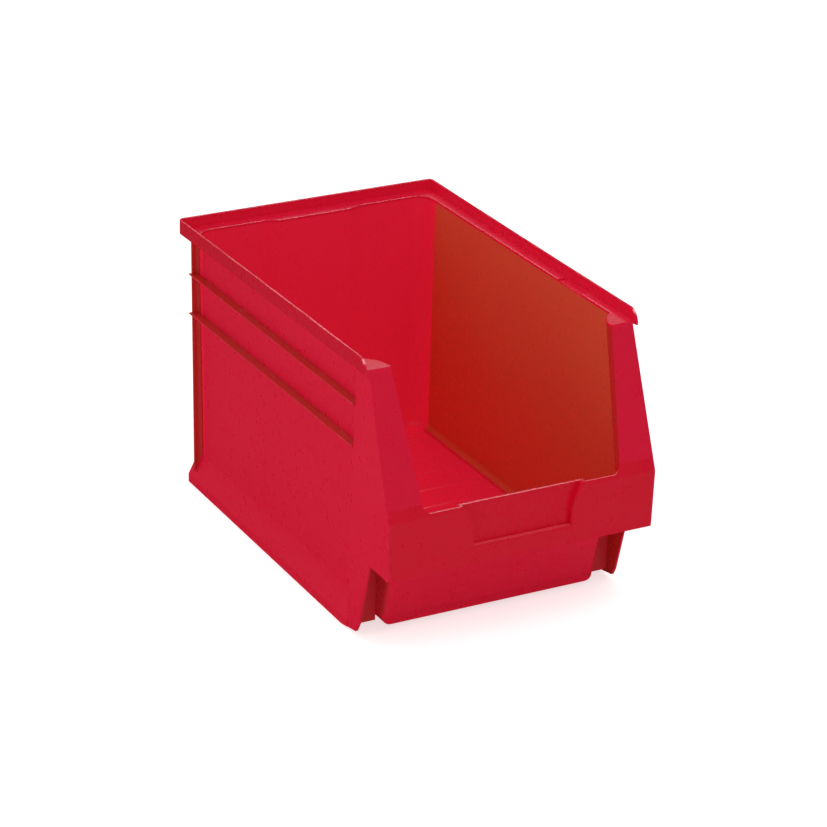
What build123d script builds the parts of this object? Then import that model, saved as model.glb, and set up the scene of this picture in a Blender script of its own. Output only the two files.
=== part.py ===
from build123d import *
import os
from math import asin, cos, pi, sin

# A stackable open-front storage bin, moulded in one plastic. Millimetres.
# Origin: centre of the footprint, on the ground. +Z up, the open front faces -Y.
# The moulding is divided into zones along its own folds and creases. The zones
# touch face to face and never overlap.

# ---- Overall size ----
length = 336.0  # front of the lip to the back of the rim
width = 216.0  # across the rim
height = 212.0  # ground to the top of the rim
wall = 2.0  # wall thickness

# ---- Rim: an upright edge around a flat stacking shelf ----
rim_depth = 8.4  # rim top above the shelf
rim_face = 11.0  # height of the rim's outer face
rim_wall = 1.6
rim_corner = 4.5  # plan radius of the outer back corners
rim_front_half = 106.8  # half width at the rim's front ends
rim_waist_half = 106.8  # half width at mid length: the long sides bow in slightly
rim_end_round = 11.0  # the front ends of the rim curve down with this radius
shelf_width = 10.3  # rim's outer face to the cavity, at the sides
shelf_back = 10.5  # the same, at the back
edge_round = 0.6  # small rounding that catches the light
lip_round = 0.9
flange_round = 0.7

# ---- Tub ----
draft = 2.5  # how far each wall leans in from shelf to floor
corner = 13.0  # inside radius of the upright back corners
floor_top = 13.0
floor_thickness = 2.5
floor_fillet = 5.0
panel_half = 31.0  # back panel that steps into the tub
panel_slant = 9.5  # width of each slanted side of the step
panel_step = 4.1

# ---- Front ----
frame_slope = 0.347  # how far the frame leans forward, per unit of drop
frame_wall = 2.2
crease_height = 104.0  # the sloped frame turns into the upright lip here
crease_round = 9.0
lip_bottom = 62.0
lip_lean = 1.0  # the lip leans back by this much at its bottom
mouth_bottom = 107.0
mouth_half_bottom = 76.7
mouth_half_top = 86.5
mouth_corner = 6.0
frame_half_bottom = 105.0
lip_half_bottom = 104.0
frame_half_top = 103.5
post_bottom = 113.0  # the frame's side posts start above the mouth's round corners
gusset_reach = 18.0  # the side wall curves in to the mouth over this depth

# ---- Label pocket in the lip ----
pocket_floor = 76.0
pocket_depth = 4.2
pocket_half_bottom = 38.6
pocket_half_upper = 41.8
pocket_upper = 99.0
pocket_half_mouth = 47.0

# ---- Nose: the narrow lower front of the tub, set back under the lip ----
nose_half = 85.0
nose_slope = 0.26
nose_bottom = 5.0
nose_foot_y = -124.0
nose_round = 5.0  # plan radius of the nose's upright corners
foot_round = 7.5  # radius of the foot's lower corners, seen from the front
web_front = -114.0
web_bottom = 5.5

# ---- Side details ----
pillar_back_top = -117.0
pillar_back_bottom = -109.0
skirt_edge_top = -139.5
skirt_edge_bottom = -125.0
skirt_corner_height = 11.0
skirt_tip = -121.0  # y of the skirt's lowest front point
rise_start = -98.0  # in front of this the rails and skirts rise from the ground
rise_slope = 0.18
upper_rib_top = 173.5
lower_rib_top = 142.0
rib_thickness = 2.0
rib_round = 0.4
rib_half = 105.6
rib_root = 90.0  # ribs and fins start inside the wall and are cut off at its face
rib_back = 153.5
rib_fall = 1.0  # each rib's top face falls by this much outwards
fin_front = 150.0
fin_bottom = 11.0
fin_curve = 2.5  # radius where the fin meets the wall
fin_half_top = 104.4
fin_half_bottom = 102.4
rail_half = 104.4
rail_back = 158.0
rail_face = 7.0  # upright outer face of the base rail
rail_shoulder = 13.0
rail_shoulder_half = 101.2
rail_blend_top = 31.0
rail_blend_sag = 1.0  # how hollow the curve is
rail_blend_bite = 0.3  # the curve ends just inside the wall's face
rail_wall = 2.2
floor_rib_count = 9
floor_rib_first = 125.5  # y of the rearmost floor rib
floor_rib_pitch = 27.0
floor_rib_height = 0.9
floor_rib_width = 5.0
floor_rib_half = 86.0
notch_front = -74.0  # shallow notch in the inner half of each side shelf
notch_back = -42.0
notch_outer_half = 102.6
notch_depth = 1.2

half_length = length / 2
half_width = width / 2
shelf_top = height - rim_depth
shelf_bottom = shelf_top - wall
cavity_half = half_width - shelf_width
cavity_back = half_length - shelf_back
front_y = -half_length
rim_front = front_y + frame_slope * (shelf_top - crease_height) - 2.0
far = 2 * length  # longer than anything in the bin
close = 0.01  # two lengths nearer than this count as equal


# ---- Helpers ----
def side_outline(*points):
    """A closed outline in the Y-Z plane, given as (y, z) corners."""
    return make_face(Polyline([(0, y, z) for y, z in points], close=True))


def front_outline(*points):
    """A closed outline in the X-Z plane, given as (x, z) corners."""
    return make_face(Polyline([(x, 0, z) for x, z in points], close=True))


def across(face, x_low, x_high):
    """Push a Y-Z outline sideways from x_low to x_high."""
    return Pos(x_low, 0, 0) * extrude(face, amount=x_high - x_low, dir=(1, 0, 0))


def along(face, y_low, y_high):
    """Push an X-Z outline backwards from y_low to y_high."""
    return Pos(0, y_low, 0) * extrude(face, amount=y_high - y_low, dir=(0, 1, 0))


def block(x_low, x_high, y_low, y_high, z_low, z_high):
    """A box given by its limits."""
    size = (x_high - x_low, y_high - y_low, z_high - z_low)
    centre = ((x_low + x_high) / 2, (y_low + y_high) / 2, (z_low + z_high) / 2)
    return Pos(*centre) * Box(*size)


def frame_y(z):
    """Front face of the sloped frame at height z."""
    return front_y + frame_slope * (z - crease_height)


def lip_y(z):
    """Front face of the lip at height z."""
    return front_y + lip_lean * (crease_height - z) / (crease_height - lip_bottom)


def nose_y(z):
    """Front face of the nose at height z."""
    return nose_foot_y - nose_slope * (z - nose_bottom)


def foot_z(y):
    """Bottom edge of the rails and skirts at y, where they rise towards the front."""
    return rise_slope * (rise_start - y)


def wall_lean(z):
    """How far the tub's walls have leaned in at height z."""
    return draft * (shelf_top - z) / (shelf_top - floor_top)


# ---- Tub ----
def tub_plan(z, offset):
    """Plan of the tub at height z, grown by offset, with the stepped back panel."""
    half = cavity_half - wall_lean(z) + offset
    back = cavity_back - wall_lean(z) + offset
    plan = make_face(Polyline((-half, -far), (half, -far), (half, back), (-half, back), close=True))
    plan = fillet(plan.vertices().group_by(Axis.Y)[-1], corner + offset)
    step_half = panel_half + panel_slant
    step = [
        (-step_half, back),
        (-panel_half, back - panel_step),
        (panel_half, back - panel_step),
        (step_half, back),
    ]
    plan -= make_face(Polyline(step, close=True))
    return Pos(0, 0, z) * plan


def tub_block(offset, z_low, z_high):
    """Leaning block of the tub's plan between two heights."""
    return loft([tub_plan(z_low, offset), tub_plan(z_high, offset)])


def front_profile(offset, z_low, z_high):
    """Side view of the space behind the frame and lip. Offset grows its floor and step."""
    step_y = web_front + wall - offset
    step_z = lip_bottom + wall - offset
    return side_outline(
        (far, z_low),
        (step_y, z_low),
        (step_y, step_z),
        (lip_y(step_z) + frame_wall, step_z),
        (front_y + frame_wall, crease_height),
        (frame_y(z_high) + frame_wall, z_high),
        (far, z_high),
    )


def nose_block(offset, z_low):
    """The narrow lower front, grown by offset, up to the step behind the lip."""
    z_high = lip_bottom + wall
    profile = side_outline(
        (web_front + 2 * wall, z_low),
        (nose_y(z_low) + wall - offset, z_low),
        (nose_y(z_high) + wall - offset, z_high),
        (web_front + 2 * wall, z_high),
    )
    half = nose_half - wall + offset
    nose = across(profile, -half, half)
    outer = nose.edges().filter_by(lambda e: abs(abs(e.center().X) - half) < close)
    front_edges = outer.filter_by(lambda e: e.center().Y < web_front - wall)
    upright = front_edges.filter_by(lambda e: e.length > nose_half / 2)
    return fillet(upright, nose_round - wall + offset)


def cavity():
    """Everything inside the tub, up to the shelf."""
    profile = front_profile(0, floor_top, shelf_top)
    space = tub_block(0, floor_top, shelf_top) & across(profile, -far, far)
    floor_edges = space.edges().group_by(Axis.Z)[0]
    under_walls = floor_edges.filter_by(lambda e: e.center().Y > web_front + 2 * wall)
    return fillet(under_walls, floor_fillet) + nose_block(0, floor_top)


def tub_shell():
    """Walls and floor as one thin shell, before it is divided into zones."""
    floor_bottom = floor_top - floor_thickness
    profile = front_profile(wall, floor_bottom, shelf_bottom)
    outside = tub_block(wall, floor_bottom, shelf_bottom) & across(profile, -far, far)
    return outside + nose_block(wall, floor_bottom) - cavity()


# ---- Zones of the tub ----
def on_side(solid, side):
    """A right-hand solid as it is, or its mirror image for the left side."""
    return solid if side == "right" else mirror(solid, about=Plane.YZ)


def web(side):
    """Upright web between the nose and the pillar, below the step."""
    outer_half = lip_half_bottom - wall
    web_back = web_front + wall
    panel = block(nose_half, outer_half, web_front, web_back, web_bottom, lip_bottom)
    return on_side(panel, side)


def tub_zones():
    """The shell divided along its folds: floor, back, nose, step and two side walls."""
    shell = tub_shell() - web("left") - web("right") - skin()
    step_top = lip_bottom + wall
    nose_back = web_front + 2 * wall
    low = block(-far, far, -far, far, 0, floor_top)
    rear = block(-far, far, cavity_back - corner - draft, far, floor_top, height)
    middle = block(-nose_half, nose_half, -far, nose_back, floor_top, step_top)
    ledge = block(-far, far, -far, web_front + wall, lip_bottom, step_top)
    ledge -= nose_block(wall, floor_top)
    nose = (shell & middle) - ledge
    sides = shell - low - rear - middle - ledge
    return {
        "floor_pan": shell & low,
        "back_wall": shell & rear,
        "nose_wall": nose,
        "front_step": shell & ledge,
        "left_wall": sides & block(-far, 0, -far, far, 0, height),
        "right_wall": sides & block(0, far, -far, far, 0, height),
    }


def nose_foot():
    """Low edge that carries the nose's front and sides on below the floor."""
    floor_bottom = floor_top - floor_thickness
    outline = front_outline(
        (-nose_half, nose_bottom),
        (nose_half, nose_bottom),
        (nose_half, lip_bottom),
        (-nose_half, lip_bottom),
    )
    outline = fillet(outline.vertices().group_by(Axis.Z)[0], foot_round)
    foot = nose_block(wall, nose_bottom) - nose_block(0, nose_bottom)
    foot &= along(outline, -far, far)
    foot &= block(-far, far, -far, far, 0, floor_bottom)
    front_bottom = foot.edges().filter_by(Axis.X).group_by(Axis.Z)[0].sort_by(Axis.Y)[0]
    return fillet(front_bottom, flange_round)


def floor_rib(y):
    """One low rounded rib across the floor."""
    half = floor_rib_width / 2
    start = (0, y - half, floor_top)
    crest = (0, y, floor_top + floor_rib_height)
    end = (0, y + half, floor_top)
    arc = ThreePointArc(start, crest, end)
    section = make_face([arc, Line(arc @ 1, arc @ 0)])
    return across(section, -floor_rib_half, floor_rib_half)


def floor_ribs():
    """Evenly spaced ribs that stiffen the floor."""
    places = [floor_rib_first - n * floor_rib_pitch for n in range(floor_rib_count)]
    return Compound([floor_rib(y) for y in places])


# ---- Front frame, lip, label pocket and the corners beside the mouth ----
def skin():
    """Front sheet: the leaning frame above the crease and the lip below it."""
    face = side_outline(
        (frame_y(shelf_bottom), shelf_bottom),
        (front_y, crease_height),
        (front_y + lip_lean, lip_bottom),
        (front_y + lip_lean + frame_wall, lip_bottom),
        (front_y + frame_wall, crease_height),
        (frame_y(shelf_bottom) + frame_wall, shelf_bottom),
    )
    sheet = across(face, -half_width, half_width)
    lengthwise = sheet.edges().filter_by(Axis.X)
    creases = lengthwise.filter_by(lambda e: abs(e.center().Z - crease_height) < close)
    return fillet(creases, crease_round)


def front_width(inset):
    """Everything within the width of the frame and lip, drawn in by inset at each side."""
    low = lip_half_bottom - inset
    crease = frame_half_bottom - inset
    top = frame_half_top - inset
    outline = front_outline(
        (-low, 0),
        (-low, lip_bottom),
        (-crease, crease_height),
        (-top, shelf_top),
        (top, shelf_top),
        (crease, crease_height),
        (low, lip_bottom),
        (low, 0),
    )
    return along(outline, -far, far)


def mouth():
    """The opening in the frame, with rounded bottom corners."""
    rise = (mouth_half_top - mouth_half_bottom) / (shelf_top - mouth_bottom)
    top_half = mouth_half_bottom + rise * (height - mouth_bottom)
    outline = front_outline(
        (-mouth_half_bottom, mouth_bottom),
        (mouth_half_bottom, mouth_bottom),
        (top_half, height),
        (-top_half, height),
    )
    return along(fillet(outline.vertices().group_by(Axis.Z)[0], mouth_corner), -far, far)


def pocket_outline(grow):
    """Front view of the label pocket, flaring towards its open top."""
    right_edge = Spline(
        (pocket_half_bottom + grow, 0, pocket_floor - grow),
        (pocket_half_upper + grow, 0, pocket_upper),
        (pocket_half_mouth + grow, 0, mouth_bottom),
    )
    left_edge = mirror(right_edge, about=Plane.YZ)
    floor_line = Line(right_edge @ 0, left_edge @ 0)
    top_line = Line(right_edge @ 1, left_edge @ 1)
    return make_face([right_edge, top_line, left_edge, floor_line])


def behind_front_face():
    """Everything behind the front face of the lip and frame."""
    outline = side_outline(
        (0, 0),
        (front_y + lip_lean, 0),
        (front_y + lip_lean, lip_bottom),
        (front_y, crease_height),
        (frame_y(height), height),
        (0, height),
    )
    crease = outline.vertices().sort_by(Axis.Y)[0]
    return across(fillet(crease, crease_round), -far, far)


def long_top_edges(solid):
    """Long edges along the top of the lip."""
    lengthwise = solid.edges().filter_by(Axis.X)
    top_edges = lengthwise.filter_by(lambda e: abs(e.center().Z - mouth_bottom) < close)
    return top_edges.filter_by(lambda e: e.length > 2 * wall)


def front_zones():
    """Lip, label pocket and the two posts beside the mouth."""
    sheet = (skin() & front_width(wall)) - mouth()
    pocket_back = front_y + pocket_depth
    hollow = along(pocket_outline(0), -far, pocket_back)
    casing = along(pocket_outline(wall), -far, pocket_back + frame_wall)
    lip = (sheet & block(-far, far, -far, far, 0, post_bottom)) - casing
    pocket = (casing & behind_front_face()) - hollow
    posts = sheet & block(-far, far, -far, far, post_bottom, height)
    return {
        "front_lip": fillet(long_top_edges(lip), lip_round),
        "label_pocket": fillet(long_top_edges(pocket), lip_round),
        "left_front_post": posts & block(-far, 0, -far, far, 0, height),
        "right_front_post": posts & block(0, far, -far, far, 0, height),
    }


def gusset_row(z, mouth_half, face_y):
    """Plan of the curved corner at height z, between the wall and the mouth's edge."""
    wall_x = cavity_half - wall_lean(z)
    reach = wall_x - mouth_half
    radius = (reach**2 + gusset_reach**2) / (2 * reach)
    turn = asin(gusset_reach / radius) / 2
    start = (mouth_half, face_y, z)
    middle = (mouth_half + radius * (1 - cos(turn)), face_y + radius * sin(turn), z)
    end = (wall_x, face_y + gusset_reach, z)
    arc = ThreePointArc(start, middle, end)
    sides = Polyline(end, (wall_x, face_y, z), start)
    return make_face([arc, *sides.edges()])


def corner_fill(side):
    """The side wall's curve in to the edge of the mouth, from the step to the shelf."""
    step_top = lip_bottom + wall
    low = gusset_row(step_top, nose_half - wall, lip_y(step_top) + frame_wall)
    middle = gusset_row(crease_height, mouth_half_bottom, front_y + frame_wall)
    top = gusset_row(shelf_top, mouth_half_top, frame_y(shelf_top) + frame_wall)
    return on_side(loft([low, middle], ruled=True) + loft([middle, top], ruled=True), side)


def gusset(side):
    """The curved corner below the shelf."""
    return (corner_fill(side) - skin()) & block(-far, far, -far, far, 0, shelf_bottom)


# ---- Rim ----
def rim_plan(inset):
    """Plan of the rim, drawn in by inset: the long sides bow in slightly."""
    back = half_length - inset
    start = (half_width - inset, back, 0)
    waist = (rim_waist_half - inset, 0, 0)
    end = (rim_front_half - inset, front_y, 0)
    right_side = ThreePointArc(start, waist, end)
    left_side = mirror(right_side, about=Plane.YZ)
    back_line = Line(right_side @ 0, left_side @ 0)
    front_line = Line(right_side @ 1, left_side @ 1)
    plan = make_face([right_side, front_line, left_side, back_line])
    return fillet(plan.vertices().group_by(Axis.Y)[-1], rim_corner - inset)


def rim_block(inset, z_low, z_high):
    """Block of the rim's plan between two heights."""
    return Pos(0, 0, z_low) * extrude(rim_plan(inset), amount=z_high - z_low)


def rim_lip():
    """Upright edge around the shelf, whose front ends curve down."""
    base = height - rim_face
    ring = rim_block(0, base, height) - rim_block(rim_wall, base - wall, height + wall)
    profile = side_outline(
        (rim_front, base),
        (rim_front, height),
        (half_length, height),
        (half_length, base),
    )
    front_top = profile.vertices().group_by(Axis.Y)[0].sort_by(Axis.Z)[-1]
    profile = fillet(front_top, rim_end_round)
    ring = fillet(ring.edges().group_by(Axis.Z)[-1], edge_round)
    return ring & across(profile, -far, far)


def shelf_notch(side):
    """Shallow notch in the inner half of one side of the shelf."""
    notch = block(0, notch_outer_half, notch_front, notch_back, shelf_top - notch_depth, height)
    return on_side(notch, side)


def shelf_opening():
    """The cavity's plan, less the curved corners, carried up through the shelf."""
    front = frame_y(shelf_top) + frame_wall
    plan = tub_plan(shelf_bottom, 0) & Pos(0, front + far / 2, shelf_bottom) * Rectangle(far, far)
    right_corner = gusset_row(shelf_bottom, mouth_half_top, front)
    plan -= right_corner
    plan -= mirror(right_corner, about=Plane.YZ)
    return extrude(plan, amount=rim_depth, dir=(0, 0, 1))


def stacking_shelf():
    """Flat shelf inside the rim, where the rails of the bin above stand."""
    front = frame_y(shelf_bottom)
    profile = side_outline(
        (front, shelf_bottom),
        (frame_y(shelf_top), shelf_top),
        (half_length, shelf_top),
        (half_length, shelf_bottom),
    )
    plate = rim_block(rim_wall, shelf_bottom, shelf_top) & across(profile, -half_width, half_width)
    plate -= mouth() & block(-half_width, half_width, -far, 0, 0, height)
    plate -= shelf_opening()
    top_edges = plate.edges().group_by(Axis.Z)[-1]
    at_opening = top_edges.filter_by(lambda e: abs(e.center().X) < cavity_half + close)
    at_opening = at_opening.filter_by(lambda e: e.center().Y < cavity_back + close)
    behind_frame = at_opening.filter_by(lambda e: e.center().Y > front + gusset_reach / 2)
    plate = fillet(behind_frame, edge_round)
    return plate - shelf_notch("left") - shelf_notch("right")


# ---- Pillars, ribs, fins and rails on each side ----
def pillar_outline():
    """Side view of the pillar and the skirt below it."""
    return side_outline(
        (frame_y(shelf_bottom), shelf_bottom),
        (front_y, crease_height),
        (front_y + lip_lean, lip_bottom),
        (skirt_edge_top, lip_bottom),
        (skirt_edge_bottom, skirt_corner_height),
        (skirt_tip, foot_z(skirt_tip)),
        (pillar_back_bottom, foot_z(pillar_back_bottom)),
        (pillar_back_bottom, rail_shoulder),
        (pillar_back_top, shelf_bottom),
    )


def pillar(side):
    """Flat flange that wraps the front corner, its folded back edge and the skirt."""
    outline = pillar_outline()
    crease = outline.vertices().sort_by(Axis.Y)[0]
    outline = fillet(crease, crease_round)
    plate = across(outline, 0, half_width) & front_width(0)
    fold = side_outline(
        (pillar_back_bottom - wall, rail_shoulder),
        (pillar_back_bottom, rail_shoulder),
        (pillar_back_top, shelf_bottom),
        (pillar_back_top - wall, shelf_bottom),
    )
    fold = (across(fold, 0, half_width) & front_width(wall)) - tub_block(wall, 0, height)
    flange = (plate - front_width(wall)) + fold - web("right")
    outer = flange.edges().filter_by(lambda e: e.center().X > frame_half_top - close)
    long_edges = outer.filter_by(lambda e: e.length > rail_shoulder)
    upright = long_edges.filter_by(lambda e: e.bounding_box().size.Z > e.length / 2)
    return on_side(fillet(upright, flange_round), side)


def side_rib(side, top):
    """Flat rib along the side wall, from the pillar to the fin, which it wraps around."""
    base = top - rib_thickness
    outline = front_outline(
        (rib_root, base),
        (rib_half, base),
        (rib_half, top - rib_fall),
        (rib_root, top),
    )
    rib = along(outline, pillar_back_bottom - corner, rib_back)
    rib = fillet(rib.edges().filter_by(Axis.Y).sort_by(Axis.X)[-2:], rib_round)
    rib -= tub_block(wall, 0, height)
    return on_side(rib, side) - pillar_space(side) - rear_fin(side)


def pillar_space(side):
    """Everything in front of the pillar's back edge."""
    outline = side_outline(
        (-far, 0),
        (pillar_back_bottom, 0),
        (pillar_back_bottom, rail_shoulder),
        (pillar_back_top, shelf_bottom),
        (pillar_back_top, height),
        (-far, height),
    )
    return on_side(across(outline, 0, far), side)


def fin_plan(z):
    """Plan of the rear fin at height z, with the hollow curve where it meets the wall."""
    rise = (z - fin_bottom) / (shelf_bottom - fin_bottom)
    tip = fin_half_bottom + rise * (fin_half_top - fin_half_bottom)
    wall_x = cavity_half + wall - wall_lean(z)
    curve_y = fin_front - fin_curve
    bulge = fin_curve * (1 - cos(pi / 4))
    start = (wall_x + fin_curve, fin_front, z)
    middle = (wall_x + bulge, fin_front - bulge, z)
    curve = ThreePointArc(start, middle, (wall_x, curve_y, z))
    fin_back = fin_front + wall
    straight = [
        curve @ 1,
        (rib_root, curve_y, z),
        (rib_root, fin_back, z),
        (tip, fin_back, z),
        (tip, fin_front, z),
        curve @ 0,
    ]
    return make_face([curve, *Polyline(straight).edges()])


def rear_fin(side):
    """Upright fin at the back end of the side wall."""
    fin = loft([fin_plan(fin_bottom), fin_plan(shelf_bottom)], ruled=True) - tub_block(wall, 0, height)
    return on_side(fin, side) - base_rail(side)


def rail_section(hollow):
    """Section of the base rail: upright foot, shoulder, and a curve up to the wall."""
    blend_x = cavity_half + wall - wall_lean(rail_blend_top) - rail_blend_bite
    middle_x = (rail_shoulder_half + blend_x) / 2 - rail_blend_sag
    middle_z = (rail_shoulder + rail_blend_top) / 2 - rail_blend_sag
    start = (rail_shoulder_half, 0, rail_shoulder)
    middle = (middle_x, 0, middle_z)
    curve = ThreePointArc(start, middle, (blend_x, 0, rail_blend_top))
    inner_half = rail_half - rail_wall
    floor_bottom = floor_top - floor_thickness
    hollow_side = [
        (rib_root, 0, floor_bottom),
        (rail_shoulder_half - rail_wall, 0, floor_bottom),
        (inner_half, 0, rail_face - wall / 2),
        (inner_half, 0, 0),
    ]
    inner_side = hollow_side if hollow else [(rib_root, 0, 0)]
    straight = [
        curve @ 1,
        (rib_root, 0, rail_blend_top),
        *inner_side,
        (rail_half, 0, 0),
        (rail_half, 0, rail_face),
        curve @ 0,
    ]
    return make_face([curve, *Polyline(straight).edges()])


def base_rail(side):
    """Hollow rail along the foot of one side, closed at the back. The bin stands on it."""
    rail_front = web_front + wall
    skirt_inside = lip_half_bottom - wall
    rail = along(rail_section(True), rail_front, rail_back)
    rail += along(rail_section(False), rail_back - wall, rail_back)
    outer = rail.edges().filter_by(Axis.Y).filter_by(lambda e: e.center().X > rail_half - close)
    rail = fillet(outer, edge_round)
    rise = side_outline((rail_front, 0), (rail_front, foot_z(rail_front)), (rise_start, 0))
    rail -= across(rise, 0, far)
    rail -= block(skirt_inside, far, -far, pillar_back_bottom, 0, height)
    rail -= block(0, far, -far, pillar_back_bottom, rail_shoulder, height)
    return on_side(rail - tub_block(wall, 0, height), side) - web(side)


def side_zones(side):
    """The pieces that stand on one side of the bin."""
    return {
        f"{side}_gusset": gusset(side),
        f"{side}_pillar": pillar(side),
        f"{side}_web": web(side),
        f"{side}_base_rail": base_rail(side),
        f"{side}_upper_rib": side_rib(side, upper_rib_top),
        f"{side}_lower_rib": side_rib(side, lower_rib_top),
        f"{side}_rear_fin": rear_fin(side),
    }


# ---- Assembly: every zone is one solid in its own file ----
pieces = {
    **tub_zones(),
    "nose_foot": nose_foot(),
    "floor_ribs": floor_ribs(),
    **front_zones(),
    "stacking_shelf": stacking_shelf(),
    "rim_lip": rim_lip(),
    **side_zones("left"),
    **side_zones("right"),
}
os.makedirs("parts", exist_ok=True)
for name, piece in pieces.items():
    export_step(piece, f"parts/{name}.step")
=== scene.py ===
from math import cos, radians, sin

import bpy
from mathutils import Matrix, Vector


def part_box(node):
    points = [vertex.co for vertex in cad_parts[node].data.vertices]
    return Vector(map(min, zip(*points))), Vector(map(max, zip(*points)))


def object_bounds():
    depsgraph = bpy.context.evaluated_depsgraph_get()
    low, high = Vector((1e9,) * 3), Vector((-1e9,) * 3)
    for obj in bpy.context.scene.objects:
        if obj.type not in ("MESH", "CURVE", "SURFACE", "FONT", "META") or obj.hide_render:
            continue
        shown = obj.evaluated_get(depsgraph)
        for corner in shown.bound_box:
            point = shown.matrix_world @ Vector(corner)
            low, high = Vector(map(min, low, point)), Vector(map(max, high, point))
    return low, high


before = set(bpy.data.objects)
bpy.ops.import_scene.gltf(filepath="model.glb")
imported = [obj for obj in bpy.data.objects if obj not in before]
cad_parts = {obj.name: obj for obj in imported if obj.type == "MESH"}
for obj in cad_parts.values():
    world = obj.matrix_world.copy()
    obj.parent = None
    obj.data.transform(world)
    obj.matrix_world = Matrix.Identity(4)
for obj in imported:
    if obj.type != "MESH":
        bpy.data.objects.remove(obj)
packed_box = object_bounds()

# ---- Camera: place in metres, lens in millimetres, shift in picture widths ----
CAMERA_TURN = radians(-25.0)
CAMERA_RISE = radians(17.56)
CAMERA_PLACE = (-1.0159, -1.8679, 1.0312)
CAMERA_LENS = 137.8
CAMERA_SHIFT = (0.2246, -0.4111)
HOME_MARGIN = 0.03  # how far forward the camera still counts as in its place

# ---- Surroundings ----
SKY_FRONT = 0.24  # what matt surfaces see in front of the bin
SKY_BACK = 0.82  # and behind it
SKY_SHEEN = 0.02  # what gloss sees
FLOOR_WIDTH = 30  # metres
FLOOR_TONE = 0.90
FLOOR_MOTTLE = 0.01
FLOOR_GLOW = 0.66  # lifts the floor towards white, to the eye
FLOOR_BOUNCE = 0.12  # the same for the light it throws back up
FLOOR_IN_GLOSS = 0.05  # how pale the floor is in reflections

# ---- Softboxes, in watts ----
KEY = 0.8
TOP = 6.5
FILL = 0.5
BACK_PANEL = 22
ROOF_PANEL = 44
AIM = (0, 0, 0.1)  # the middle of the bin

# ---- Plastic colours ----
RED = (0.94, 0.0068, 0.050, 1)
DEEP_RED = (0.87, 0.0064, 0.042, 1)
RIM_SHADE_RED = (0.70, 0.0040, 0.026, 1)  # painted shade: darker red for the rim's outer face
LIP_SHADE_RED = (0.88, 0.0040, 0.028, 1)  # painted shade: darker red for the lip and its label field, which face the front
SHADED_RED = (0.64, 0.0280, 0.024, 1)  # rib tops, webs, fins and the sides of narrow parts
INNER_WALL_SHADE_RED = (0.80, 0.1150, 0.050, 1)  # painted shade: brown for the inner faces of the side walls
# real wear on the foot and the rim's top, and painted highlight on the rim's top and on ledges that
# face up
WORN_AND_GLINT_RED = (0.97, 0.080, 0.120, 1)
# painted light: colour of the glow, an emission from sheltered parts that are no lamp
GLOW_RED = (1.0, 0.038, 0.092, 1)
WHITE = (1, 1, 1, 1)

# ---- Plastic surface: roughness, highlight and relief ----
POLISHED = 0.26
SATIN = 0.28
MATT = 0.34
HIGHLIGHT = 0.28
GRAIN = 0.08
GRAIN_DEPTH = 0.0002
SWELL = 0.06
SWELL_DEPTH = 0.0006

# ---- Noise patterns, in cells per metre, from fine to coarse ----
GRAIN_CELLS = 1500
MOTTLE_CELLS = 240
SCUFF_CELLS = 130
GLOSS_CELLS = 90
SWELL_CELLS = 28
PATCH_CELLS = 20
CLOUD_CELLS = 14
FLOOR_CELLS = 3


def node(tree, kind, **settings):
    """Add a shader node, setting its properties and its inputs by name."""
    made = tree.nodes.new(kind)
    for name, value in settings.items():
        if hasattr(made, name):
            setattr(made, name, value)
        else:
            made.inputs[name.replace("_", " ")].default_value = value
    return made


def noise(tree, place, cells, detail, roughness=0.5):
    """A noise texture in the object's own space."""
    made = node(tree, "ShaderNodeTexNoise", Scale=cells, Detail=detail, Roughness=roughness)
    tree.links.new(place, made.inputs["Vector"])
    return made.outputs["Fac"]


def remap(tree, value, low, high, to_low, to_high):
    """Stretch a value from one range to another, held within the new range."""
    made = node(tree, "ShaderNodeMapRange")
    numbers = {"From Min": low, "From Max": high, "To Min": to_low, "To Max": to_high}
    for name, number in numbers.items():
        made.inputs[name].default_value = number
    tree.links.new(value, made.inputs["Value"])
    return made.outputs["Result"]


def blend(tree, factor, first, second):
    """Mix two colours by a factor."""
    made = node(tree, "ShaderNodeMix", data_type="RGBA")
    tree.links.new(factor, made.inputs["Factor"])
    for socket, colour in ((made.inputs[6], first), (made.inputs[7], second)):
        if isinstance(colour, tuple):
            socket.default_value = colour
        else:
            tree.links.new(colour, socket)
    return made.outputs[2]


def choose(tree, factor, first, second):
    """Mix a node's result with a plain number by a factor."""
    made = node(tree, "ShaderNodeMix", data_type="FLOAT")
    tree.links.new(factor, made.inputs["Factor"])
    tree.links.new(first, made.inputs[2])
    made.inputs[3].default_value = second
    return made.outputs[0]


def multiply(tree, first, second):
    """Product of two values."""
    made = node(tree, "ShaderNodeMath", operation="MULTIPLY")
    tree.links.new(first, made.inputs[0])
    tree.links.new(second, made.inputs[1])
    return made.outputs[0]


def constant(tree, value):
    """One number as a node's result."""
    made = node(tree, "ShaderNodeValue")
    made.outputs[0].default_value = value
    return made.outputs[0]


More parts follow.
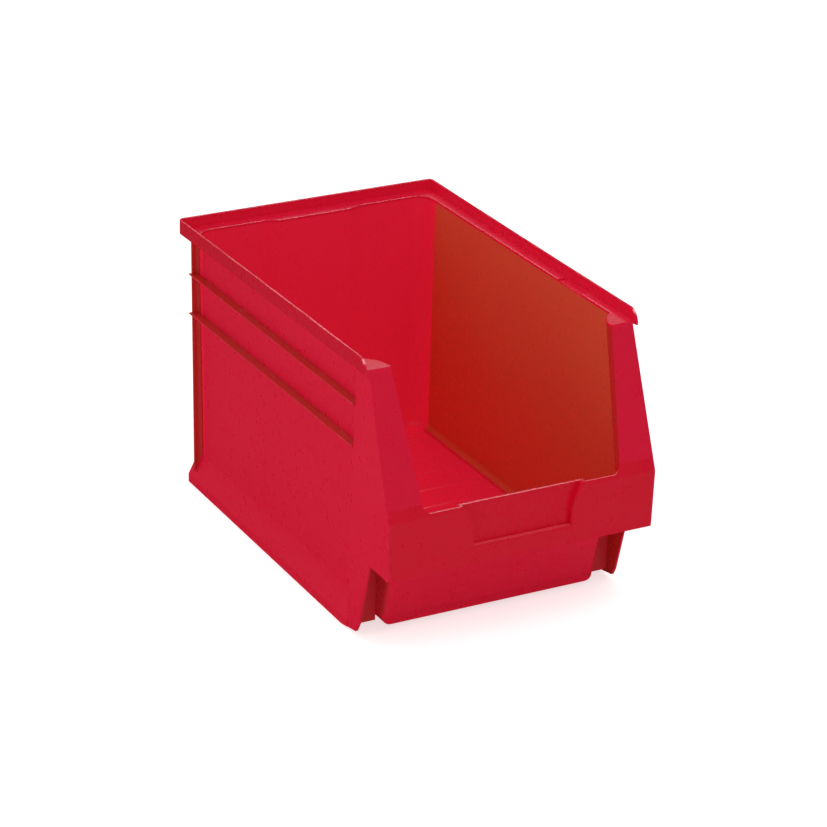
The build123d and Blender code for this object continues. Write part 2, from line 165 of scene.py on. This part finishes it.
def masks(tree, place):
    """Values that pick out faces by where they are and which way they face.

    Sideways is x times the normal's x. On a side wall that is half the bin's width, above zero
    on the outer face and below zero on the inner one.
    """
    spot = node(tree, "ShaderNodeSeparateXYZ")
    tree.links.new(place, spot.inputs[0])
    facing = node(tree, "ShaderNodeSeparateXYZ")
    tree.links.new(node(tree, "ShaderNodeNewGeometry").outputs["Normal"], facing.inputs[0])
    sideways = multiply(tree, spot.outputs["X"], facing.outputs["X"])
    height = spot.outputs["Z"]
    floor_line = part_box("floor_ribs")[0][2]
    top = packed_box[1][2]
    above_floor = remap(tree, height, floor_line - 0.0002, floor_line, 0, 1)
    not_behind = remap(tree, facing.outputs["Y"], 0.3, 0.6, 1, 0)
    return {
        "nowhere": constant(tree, 0.0),
        "everywhere": constant(tree, 1.0),
        "inward": remap(tree, sideways, -0.02, -0.06, 0, 1),
        "outward": remap(tree, sideways, 0.05, 0.09, 0, 1),
        "up": remap(tree, facing.outputs["Z"], 0.6, 0.9, 0, 1),
        "inside": multiply(tree, above_floor, not_behind),
        "rim top": remap(tree, height, top - 0.0012, top - 0.0002, 0, 0.6),
        "foot": remap(tree, height, 0.0002, 0.0040, 0.5, 0),
    }


def plastic_colour(tree, place, where, tint, tint_where, ledge_highlight):
    """Mottled red with a painted-shade tint, worn paler on the foot, worn and painted with highlight
    on the rim's top, and painted with highlight on any ledge that faces up.
    """
    mottle = remap(tree, noise(tree, place, MOTTLE_CELLS, 2), 0.3, 0.7, 0, 0.5)
    cloud = remap(tree, noise(tree, place, CLOUD_CELLS, 3), 0.35, 0.65, 0, 0.6)
    colour = blend(tree, mottle, RED, DEEP_RED)
    colour = blend(tree, cloud, colour, RED)
    patches = remap(tree, noise(tree, place, PATCH_CELLS, 3), 0.3, 0.7, 0.88, 1)
    # painted shade: the tint darkens the chosen faces, in patches
    colour = blend(tree, multiply(tree, patches, where[tint_where]), colour, tint)
    # scuffs: wear on the foot; on the rim's top, wear and painted highlight
    scuffs_and_glints = remap(tree, noise(tree, place, SCUFF_CELLS, 5, 0.7), 0.48, 0.62, 0, 1)
    for zone in ("rim top", "foot"):
        colour = blend(tree, multiply(tree, where[zone], scuffs_and_glints), colour, WORN_AND_GLINT_RED)
    # painted highlight on the ledges that face up
    ledge = remap(tree, where["up"], 0, 1, 0, ledge_highlight)
    return blend(tree, ledge, colour, WORN_AND_GLINT_RED)


def plastic_relief(tree, place):
    """Fine moulded grain on a barely waved surface."""
    grain = node(tree, "ShaderNodeBump", Strength=GRAIN, Distance=GRAIN_DEPTH)
    tree.links.new(noise(tree, place, GRAIN_CELLS, 2), grain.inputs["Height"])
    swell = node(tree, "ShaderNodeBump", Strength=SWELL, Distance=SWELL_DEPTH)
    tree.links.new(noise(tree, place, SWELL_CELLS, 2), swell.inputs["Height"])
    tree.links.new(grain.outputs["Normal"], swell.inputs["Normal"])
    return swell.outputs["Normal"]


def red_plastic(
    name, roughness, tint=RED, tint_where="nowhere", glow=0.0, glow_where="everywhere", ledge_highlight=0.0
):
    """Satin moulded plastic with fine grain and mottling, worn and painted with highlight at edges.

    The tint is painted shade on one way of facing. Glow is painted light: an emission from the
    plastic, which is no lamp.
    The ledge highlight is a painted highlight on the ledges that face up.
    """
    material = bpy.data.materials.new(name)
    material.use_nodes = True
    tree = material.node_tree
    tree.nodes.clear()
    place = node(tree, "ShaderNodeTexCoord").outputs["Object"]
    where = masks(tree, place)
    colour = plastic_colour(tree, place, where, tint, tint_where, ledge_highlight)
    gloss = remap(
        tree, noise(tree, place, GLOSS_CELLS, 4), 0.3, 0.7, roughness - 0.02, roughness + 0.04
    )
    # painted light: how strongly the plastic glows, where its mask allows
    glowing = remap(tree, where[glow_where], 0, 1, 0, glow)

    shader = node(tree, "ShaderNodeBsdfPrincipled")
    shader.inputs["Specular IOR Level"].default_value = HIGHLIGHT
    shader.inputs["Emission Color"].default_value = GLOW_RED
    tree.links.new(glowing, shader.inputs["Emission Strength"])
    tree.links.new(colour, shader.inputs["Base Color"])
    tree.links.new(gloss, shader.inputs["Roughness"])
    tree.links.new(plastic_relief(tree, place), shader.inputs["Normal"])
    output = node(tree, "ShaderNodeOutputMaterial")
    tree.links.new(shader.outputs["BSDF"], output.inputs["Surface"])
    return material


def dress_bin():
    """Give every zone of the moulding its plastic."""
    plain = red_plastic("plastic_frame", SATIN, SHADED_RED, "inward")
    # painted light: glow inside the tub
    tub = red_plastic("plastic_tub", SATIN, glow=0.13, glow_where="inside")
    # painted shade: brown on the side walls' inner faces
    side = red_plastic("plastic_side", SATIN, INNER_WALL_SHADE_RED, "inward")
    # painted shade on the rim's outer face, and painted light as a faint glow
    rim = red_plastic("plastic_rim", POLISHED, RIM_SHADE_RED, "outward", glow=0.03)
    # painted shade on the nose's sides, and painted light as a faint glow
    nose = red_plastic("plastic_nose", SATIN, SHADED_RED, "outward", glow=0.03)
    rib = red_plastic("plastic_rib", MATT, SHADED_RED, "up")
    fin = red_plastic("plastic_fin", MATT, SHADED_RED, "everywhere")
    # painted shade all over, and painted light as glow
    web = red_plastic("plastic_web", MATT, SHADED_RED, "everywhere", glow=0.06)
    # painted shade: the lip's darker red
    lip = red_plastic("plastic_lip", SATIN, LIP_SHADE_RED, "everywhere")
    # painted shade as the lip's darker red, and painted highlight on the ledges that face up
    pocket = red_plastic("plastic_pocket", POLISHED, LIP_SHADE_RED, "everywhere", ledge_highlight=0.8)
    finish = {
        "floor_pan": tub,
        "floor_ribs": tub,
        "back_wall": tub,
        "left_wall": side,
        "right_wall": side,
        "rim_lip": rim,
        "stacking_shelf": rim,
        "nose_wall": nose,
        "nose_foot": nose,
        "front_lip": lip,
        "label_pocket": pocket,
    }
    for hand in ("left", "right"):
        finish[f"{hand}_upper_rib"] = rib
        finish[f"{hand}_lower_rib"] = rib
        finish[f"{hand}_rear_fin"] = fin
        finish[f"{hand}_web"] = web
    for name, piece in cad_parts.items():
        piece.data.materials.clear()
        piece.data.materials.append(finish.get(name, plain))


def grey(tone):
    """A neutral colour."""
    return (tone, tone, tone, 1)


def floor():
    """Plain pale floor the bin stands on, near white to the eye and dim in reflections."""
    bpy.ops.mesh.primitive_plane_add(size=FLOOR_WIDTH)
    ground = bpy.context.object
    ground.name = "floor"
    material = bpy.data.materials.new("pale_floor")
    material.use_nodes = True
    tree = material.node_tree
    shader = tree.nodes["Principled BSDF"]
    place = node(tree, "ShaderNodeTexCoord").outputs["Object"]
    grain = noise(tree, place, FLOOR_CELLS, 3)
    pale = blend(tree, grain, grey(FLOOR_TONE), grey(FLOOR_TONE + FLOOR_MOTTLE))
    tree.links.new(pale, shader.inputs["Base Color"])
    shader.inputs["Roughness"].default_value = 0.9
    shader.inputs["Specular IOR Level"].default_value = 0.0
    rays = node(tree, "ShaderNodeLightPath")
    glow = remap(tree, rays.outputs["Is Camera Ray"], 0, 1, FLOOR_BOUNCE, FLOOR_GLOW)
    shader.inputs["Emission Color"].default_value = WHITE
    tree.links.new(glow, shader.inputs["Emission Strength"])
    dim = node(tree, "ShaderNodeBsdfDiffuse", Color=grey(FLOOR_IN_GLOSS))
    seen = node(tree, "ShaderNodeMixShader")
    tree.links.new(rays.outputs["Is Glossy Ray"], seen.inputs["Fac"])
    tree.links.new(shader.outputs["BSDF"], seen.inputs[1])
    tree.links.new(dim.outputs["BSDF"], seen.inputs[2])
    tree.links.new(seen.outputs[0], tree.nodes["Material Output"].inputs["Surface"])
    ground.data.materials.append(material)


def sky():
    """White surroundings to the eye, dimmer in front for matt surfaces and dim in reflections."""
    world = bpy.data.worlds.new("studio")
    bpy.context.scene.world = world
    world.use_nodes = True
    world.cycles.sampling_method = "NONE"
    tree = world.node_tree
    back = tree.nodes["Background"]
    back.inputs["Color"].default_value = WHITE
    rays = node(tree, "ShaderNodeLightPath")
    direction = node(tree, "ShaderNodeSeparateXYZ")
    tree.links.new(node(tree, "ShaderNodeTexCoord").outputs["Generated"], direction.inputs[0])
    matt = remap(tree, direction.outputs["Y"], -1, 1, SKY_FRONT, SKY_BACK)
    glossy = choose(tree, rays.outputs["Is Glossy Ray"], matt, SKY_SHEEN)
    seen = choose(tree, rays.outputs["Is Camera Ray"], glossy, 1.0)
    tree.links.new(seen, back.inputs["Strength"])


def softbox(name, place, width, height, power):
    """Rectangular area light aimed at the bin, itself out of sight."""
    lamp = bpy.data.lights.new(name, "AREA")
    lamp.shape = "RECTANGLE"
    lamp.size = width
    lamp.size_y = height
    lamp.energy = power
    holder = bpy.data.objects.new(name, lamp)
    bpy.context.scene.collection.objects.link(holder)
    holder.location = place
    aim = Vector(AIM) - Vector(place)
    holder.rotation_euler = aim.to_track_quat("-Z", "Y").to_euler()
    holder.visible_camera = False
    return holder


def lights():
    """Soft lights for the matt colour, and two bright panels that only edges reflect."""
    softbox("key", (-0.9, -0.2, 0.45), 0.6, 0.5, KEY).visible_glossy = False
    softbox("top", (0.1, -1.0, 1.9), 1.4, 1.2, TOP).visible_glossy = False
    softbox("fill", (0.3, -2.4, 0.9), 1.8, 1.2, FILL).visible_glossy = False
    softbox("back_panel", (0.2, 2.0, 1.75), 2.6, 0.5, BACK_PANEL).visible_diffuse = False
    softbox("roof_panel", (0.8, -0.5, 1.9), 1.2, 0.8, ROOF_PANEL).visible_diffuse = False


def shift_at_home(lens, holder):
    """Shift the lens only where the camera stands now, so that a view from elsewhere is centred.

    A driver curve leads from the camera's y to the shift.
    """
    for name, shift in zip(("shift_x", "shift_y"), CAMERA_SHIFT):
        curve = lens.driver_add(name)
        curve.modifiers.remove(curve.modifiers[0])
        curve.driver.type = "SUM"
        place = curve.driver.variables.new()
        place.type = "TRANSFORMS"
        place.targets[0].id = holder
        place.targets[0].transform_type = "LOC_Y"
        curve.keyframe_points.insert(CAMERA_PLACE[1], shift).interpolation = "LINEAR"
        curve.keyframe_points.insert(CAMERA_PLACE[1] + HOME_MARGIN, 0)


def camera():
    """Long-lens camera above the bin's left front corner."""
    lens = bpy.data.cameras.new("camera")
    lens.lens = CAMERA_LENS
    lens.sensor_width = 36
    lens.clip_end = 50
    holder = bpy.data.objects.new("camera", lens)
    bpy.context.scene.collection.objects.link(holder)
    level = cos(CAMERA_RISE)
    back = Vector((sin(CAMERA_TURN) * level, -cos(CAMERA_TURN) * level, sin(CAMERA_RISE)))
    right = Vector((cos(CAMERA_TURN), sin(CAMERA_TURN), 0))
    up = back.cross(right)
    turn = Matrix((right, up, back)).transposed().to_4x4()
    holder.matrix_world = Matrix.Translation(CAMERA_PLACE) @ turn
    shift_at_home(lens, holder)
    bpy.context.scene.camera = holder


dress_bin()
floor()
sky()
lights()
camera()
bpy.context.scene.view_settings.view_transform = "Standard"
